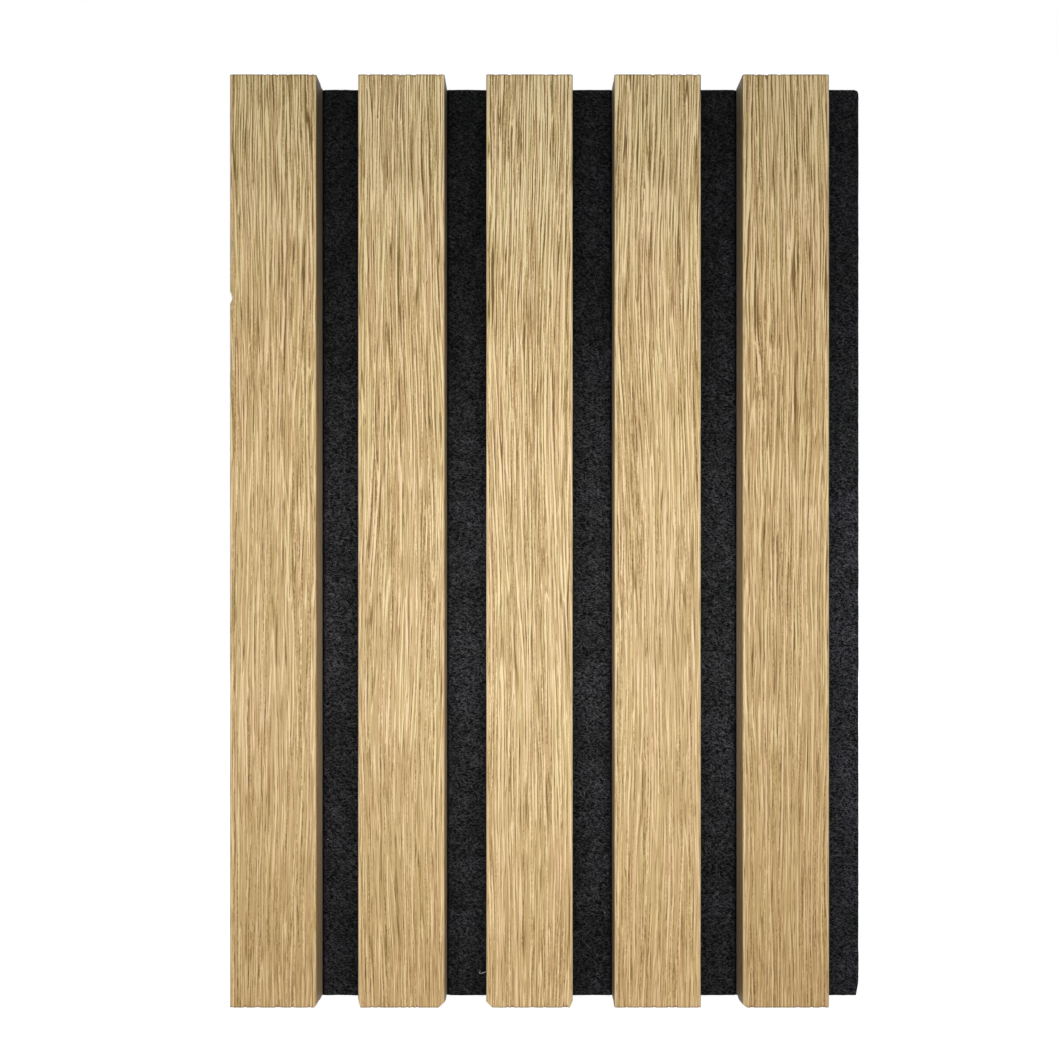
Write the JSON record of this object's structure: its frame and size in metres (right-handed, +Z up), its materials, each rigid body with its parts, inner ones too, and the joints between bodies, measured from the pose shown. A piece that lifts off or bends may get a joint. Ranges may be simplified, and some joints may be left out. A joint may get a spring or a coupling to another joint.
{
  "type": "acoustic slat wall panel",
  "caption": "Wall panel of upright oak-veneered slats stapled in an even row to a black felt backing board, which absorbs sound in the channels between them.",
  "frame": {"origin": "centre of the felt's back face, the face that lies against the wall", "axes": "+Z up along the slats, +X to the right seen from the front, +Y into the wall; the slats face -Y"},
  "size_m": [0.1994, 0.021, 0.2916],
  "materials": {
    "oak_veneer": "matt oiled oak, straight grain along the slat",
    "fibreboard": "bare fibreboard, sawn ends",
    "felt": "needle-punched felt, black, matt",
    "staple_wire": "galvanised wire"
  },
  "bodies": {
    "root": {"felt_backing": "felt", "slat_core_1": "fibreboard", "slat_core_2": "fibreboard", "slat_core_3": "fibreboard", "slat_core_4": "fibreboard", "slat_core_5": "fibreboard", "slat_veneer_1": "oak_veneer", "slat_veneer_2": "oak_veneer", "slat_veneer_3": "oak_veneer", "slat_veneer_4": "oak_veneer", "slat_veneer_5": "oak_veneer", "staples": "staple_wire"}
  },
  "joints": []
}
